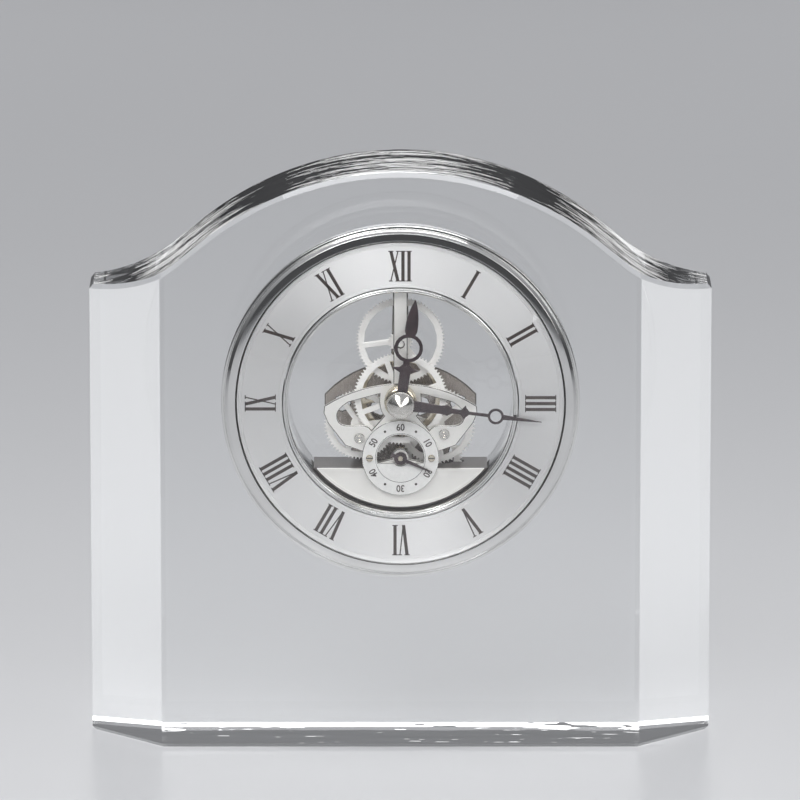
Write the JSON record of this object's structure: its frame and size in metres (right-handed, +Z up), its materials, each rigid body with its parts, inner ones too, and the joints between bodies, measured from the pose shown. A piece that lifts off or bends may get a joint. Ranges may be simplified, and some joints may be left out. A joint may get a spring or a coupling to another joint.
{
  "type": "table clock",
  "caption": "Table clock: clear wave-topped crystal block with faceted front corners and a round silver dial insert with an open geared movement.",
  "frame": {"origin": "middle of the underside of the crystal block, which stands flat on a table", "axes": "+Z up, +X to the right seen from the front, the dial faces -Y"},
  "size_m": [0.178, 0.0508, 0.1676],
  "materials": {
    "crystal": "polished optical crystal",
    "clear_lens": "clear polished",
    "chrome": "polished",
    "dial_silver": "spun brushed",
    "plate_silver": "satin nickel",
    "shadow_steel": "satin",
    "wheel_silver": "satin nickel",
    "brass": "polished",
    "enamel": "satin white",
    "hand_dark": "gloss dark brown",
    "grip_rubber": "soft translucent",
    "grey_plastic": "matt"
  },
  "bodies": {
    "case": {"crystal_block": "crystal", "bezel": "chrome", "case_can": "chrome", "grip_ring": "grip_rubber", "inner_tube": "chrome", "dial_ring": "dial_silver", "dial_lip": "chrome", "front_lens": "clear_lens", "front_bridge": "plate_silver", "rear_bridge": "shadow_steel", "post_bar": "plate_silver", "centre_boss": "brass", "bridge_screw_left": "shadow_steel", "bridge_screw_right": "shadow_steel", "seconds_dial": "enamel", "dial_screw_left": "brass", "dial_screw_right": "brass", "movement_housing": "shadow_steel", "shelf_plate": "plate_silver", "battery_door": "grey_plastic", "door_screw_left": "shadow_steel", "door_screw_right": "shadow_steel"},
    "minute": {"centre_wheel": "brass", "cannon_pinion": "brass", "minute_hand": "hand_dark", "hand_nut": "chrome"},
    "hour": {"hour_wheel": "wheel_silver", "hour_hand": "hand_dark"},
    "minute_train": {"minute_wheel": "wheel_silver"},
    "setting": {"setting_wheel": "wheel_silver", "setting_knob": "grey_plastic"},
    "third": {"third_wheel": "wheel_silver"},
    "seconds": {"seconds_pinion": "brass", "seconds_hand": "hand_dark"},
    "drive": {"drive_wheel": "wheel_silver"}
  },
  "joints": [
    {"name": "drive_spin", "type": "hinge", "parent": "case", "child": "drive", "pos_m": [0.00922, -0.0123, 0.08283], "axis": [0, -1, 0], "continuous": true},
    {"name": "seconds_spin", "type": "hinge", "parent": "case", "child": "seconds", "pos_m": [0, -0.0123, 0.0853], "axis": [0, 1, 0], "continuous": true},
    {"name": "third_spin", "type": "hinge", "parent": "case", "child": "third", "pos_m": [0.01001, -0.0123, 0.09275], "axis": [0, 1, 0], "continuous": true},
    {"name": "minute_spin", "type": "hinge", "parent": "case", "child": "minute", "pos_m": [0, -0.0123, 0.1018], "axis": [0, 1, 0], "continuous": true},
    {"name": "minute_wheel_spin", "type": "hinge", "parent": "case", "child": "minute_train", "pos_m": [0, -0.0123, 0.1183], "axis": [0, 1, 0], "continuous": true},
    {"name": "hour_spin", "type": "hinge", "parent": "case", "child": "hour", "pos_m": [0, -0.0123, 0.1018], "axis": [0, 1, 0], "continuous": true},
    {"name": "setting_spin", "type": "hinge", "parent": "case", "child": "setting", "pos_m": [-0.01156, -0.0123, 0.09386], "axis": [0, 1, 0], "continuous": true}
  ],
  "couplings": [
    {"joint": "seconds_spin", "follows": "drive_spin", "ratio": 5.5},
    {"joint": "third_spin", "follows": "drive_spin", "ratio": -0.73333},
    {"joint": "minute_spin", "follows": "drive_spin", "ratio": 0.091667},
    {"joint": "minute_wheel_spin", "follows": "drive_spin", "ratio": -0.030556},
    {"joint": "hour_spin", "follows": "drive_spin", "ratio": 0.0076389},
    {"joint": "setting_spin", "follows": "drive_spin", "ratio": -0.038194}
  ]
}
